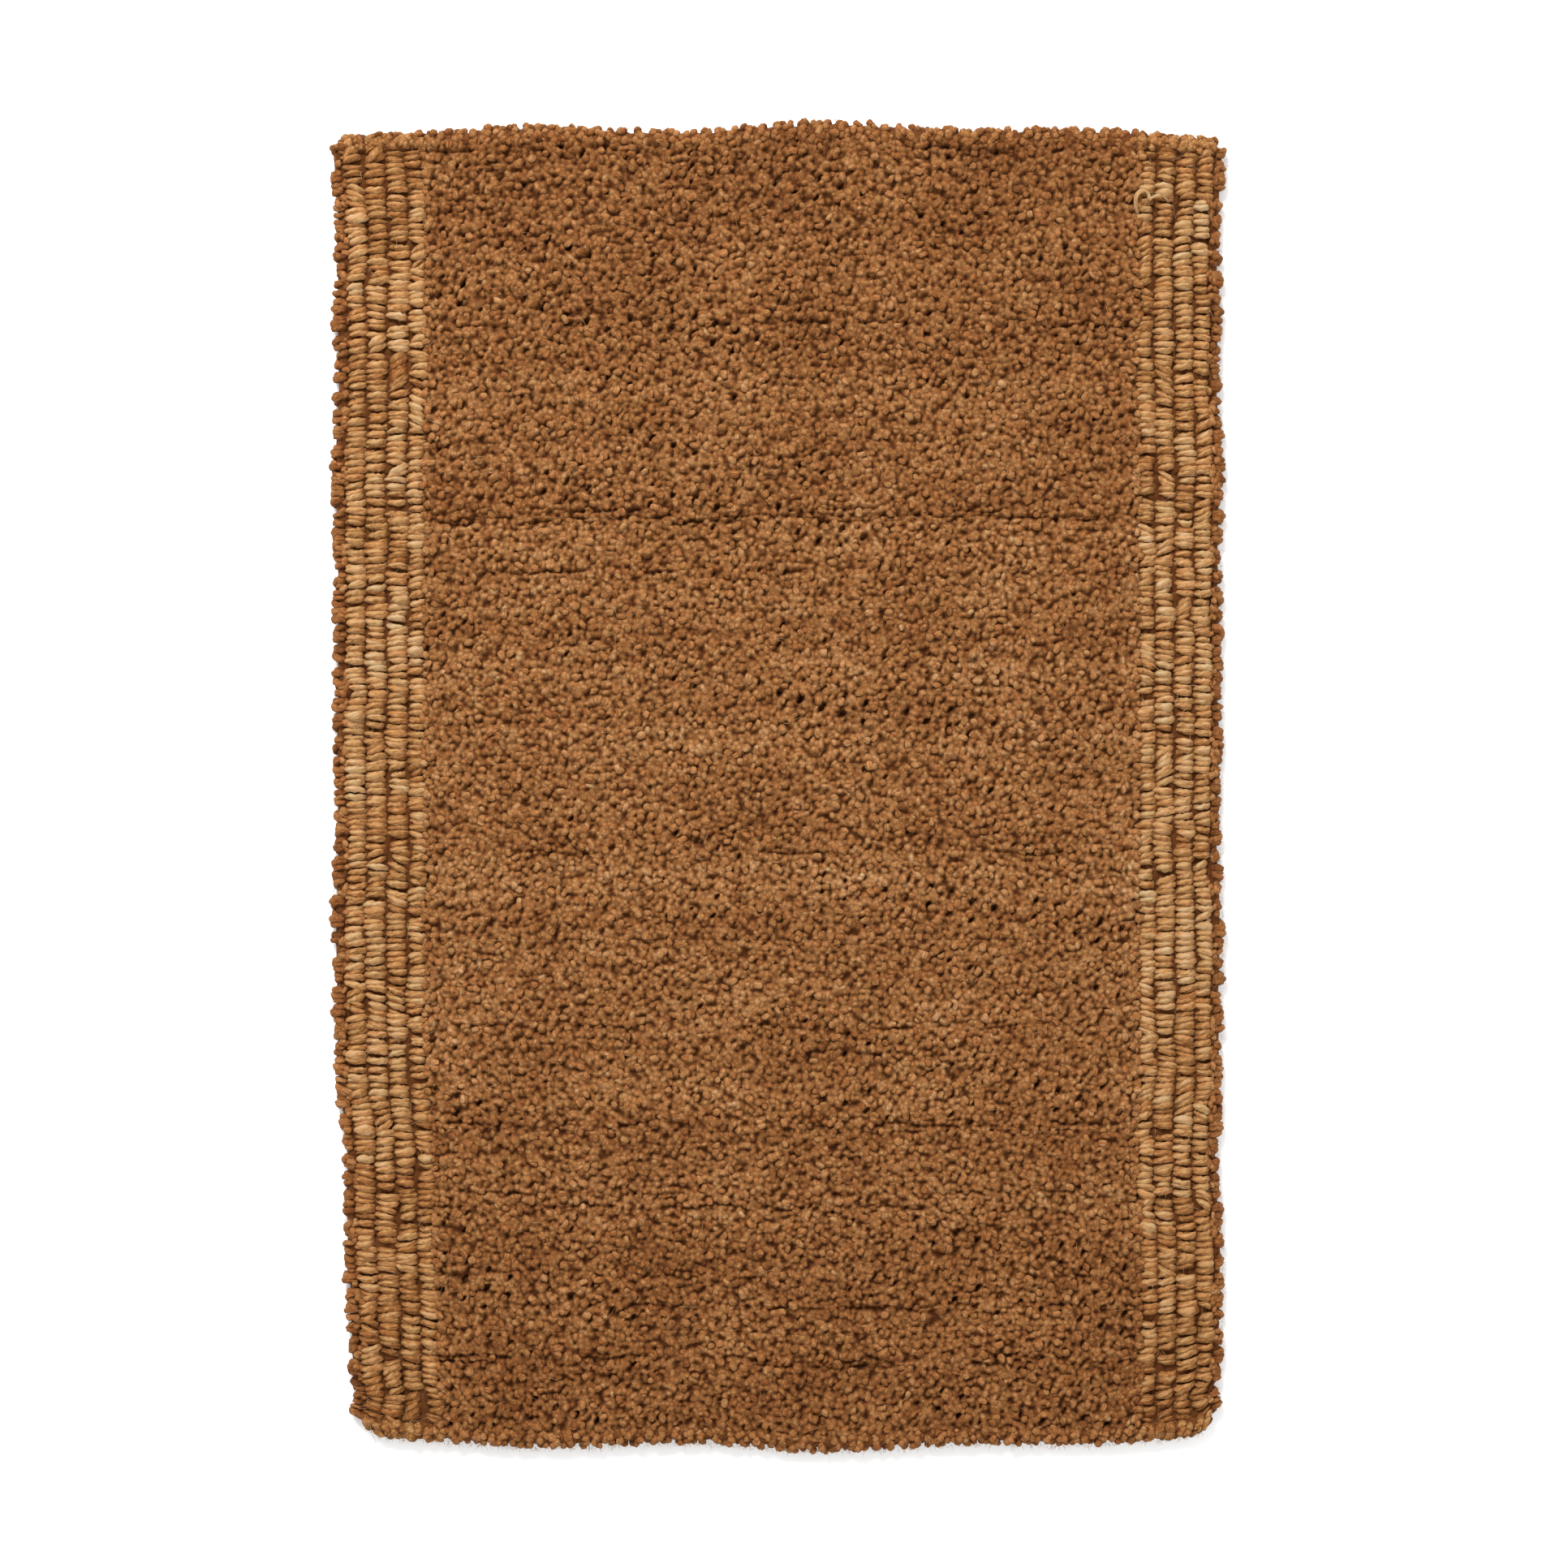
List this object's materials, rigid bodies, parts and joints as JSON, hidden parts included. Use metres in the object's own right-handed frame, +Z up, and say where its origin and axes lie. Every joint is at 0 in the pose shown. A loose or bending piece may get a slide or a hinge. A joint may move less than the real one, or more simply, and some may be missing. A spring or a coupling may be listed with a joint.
{
  "type": "door mat",
  "caption": "Rectangular woven door mat with a cut-pile centre, looped borders along both sides and rolled ends; rolls up from the far end.",
  "frame": {"origin": "middle of the underside, at floor level", "axes": "+X across the width, +Y along the length towards the end that is lifted to roll the mat up, +Z up out of the pile"},
  "size_m": [0.6, 0.9, 0.018],
  "materials": {
    "ground_weave": "matte woven jute",
    "centre_pile": "matte cut pile",
    "border_loops": "matte twisted jute yarn",
    "edge_cord": "matte wrapped yarn",
    "hem": "matte woven jute",
    "stitching": "matte twisted sewing cord"
  },
  "bodies": {
    "band_1": {"ground_weave_1": "ground_weave", "centre_pile_1": "centre_pile", "left_loops_1": "border_loops", "right_loops_1": "border_loops", "left_edge_cord_1": "edge_cord", "right_edge_cord_1": "edge_cord", "near_hem": "hem", "near_hem_stitches": "stitching"},
    "band_2": {"ground_weave_2": "ground_weave", "centre_pile_2": "centre_pile", "left_loops_2": "border_loops", "right_loops_2": "border_loops", "left_edge_cord_2": "edge_cord", "right_edge_cord_2": "edge_cord"},
    "band_3": {"ground_weave_3": "ground_weave", "centre_pile_3": "centre_pile", "left_loops_3": "border_loops", "right_loops_3": "border_loops", "left_edge_cord_3": "edge_cord", "right_edge_cord_3": "edge_cord"},
    "band_4": {"ground_weave_4": "ground_weave", "centre_pile_4": "centre_pile", "left_loops_4": "border_loops", "right_loops_4": "border_loops", "left_edge_cord_4": "edge_cord", "right_edge_cord_4": "edge_cord"},
    "band_5": {"ground_weave_5": "ground_weave", "centre_pile_5": "centre_pile", "left_loops_5": "border_loops", "right_loops_5": "border_loops", "left_edge_cord_5": "edge_cord", "right_edge_cord_5": "edge_cord"},
    "band_6": {"ground_weave_6": "ground_weave", "centre_pile_6": "centre_pile", "left_loops_6": "border_loops", "right_loops_6": "border_loops", "left_edge_cord_6": "edge_cord", "right_edge_cord_6": "edge_cord"},
    "band_7": {"ground_weave_7": "ground_weave", "centre_pile_7": "centre_pile", "left_loops_7": "border_loops", "right_loops_7": "border_loops", "left_edge_cord_7": "edge_cord", "right_edge_cord_7": "edge_cord"},
    "band_8": {"ground_weave_8": "ground_weave", "centre_pile_8": "centre_pile", "left_loops_8": "border_loops", "right_loops_8": "border_loops", "left_edge_cord_8": "edge_cord", "right_edge_cord_8": "edge_cord"},
    "band_9": {"ground_weave_9": "ground_weave", "centre_pile_9": "centre_pile", "left_loops_9": "border_loops", "right_loops_9": "border_loops", "left_edge_cord_9": "edge_cord", "right_edge_cord_9": "edge_cord", "far_hem": "hem", "far_hem_stitches": "stitching"}
  },
  "joints": [
    {"name": "roll_up", "type": "hinge", "parent": "band_1", "child": "band_2", "pos_m": [0, -0.302, 0.004], "axis": [1, 0, 0], "range_deg": [0, 44]},
    {"name": "bend_2", "type": "hinge", "parent": "band_2", "child": "band_3", "pos_m": [0, -0.166, 0.004], "axis": [1, 0, 0], "range_deg": [0, 46]},
    {"name": "bend_3", "type": "hinge", "parent": "band_3", "child": "band_4", "pos_m": [0, -0.042, 0.004], "axis": [1, 0, 0], "range_deg": [0, 48]},
    {"name": "bend_4", "type": "hinge", "parent": "band_4", "child": "band_5", "pos_m": [0, 0.07, 0.004], "axis": [1, 0, 0], "range_deg": [0, 50]},
    {"name": "bend_5", "type": "hinge", "parent": "band_5", "child": "band_6", "pos_m": [0, 0.17, 0.004], "axis": [1, 0, 0], "range_deg": [0, 52]},
    {"name": "bend_6", "type": "hinge", "parent": "band_6", "child": "band_7", "pos_m": [0, 0.258, 0.004], "axis": [1, 0, 0], "range_deg": [0, 54]},
    {"name": "bend_7", "type": "hinge", "parent": "band_7", "child": "band_8", "pos_m": [0, 0.334, 0.004], "axis": [1, 0, 0], "range_deg": [0, 56]},
    {"name": "bend_8", "type": "hinge", "parent": "band_8", "child": "band_9", "pos_m": [0, 0.398, 0.004], "axis": [1, 0, 0], "range_deg": [0, 58]}
  ],
  "couplings": [
    {"joint": "bend_2", "follows": "roll_up", "ratio": 1.0454},
    {"joint": "bend_3", "follows": "roll_up", "ratio": 1.0909},
    {"joint": "bend_4", "follows": "roll_up", "ratio": 1.1364},
    {"joint": "bend_5", "follows": "roll_up", "ratio": 1.1818},
    {"joint": "bend_6", "follows": "roll_up", "ratio": 1.2273},
    {"joint": "bend_7", "follows": "roll_up", "ratio": 1.2727},
    {"joint": "bend_8", "follows": "roll_up", "ratio": 1.3182}
  ]
}
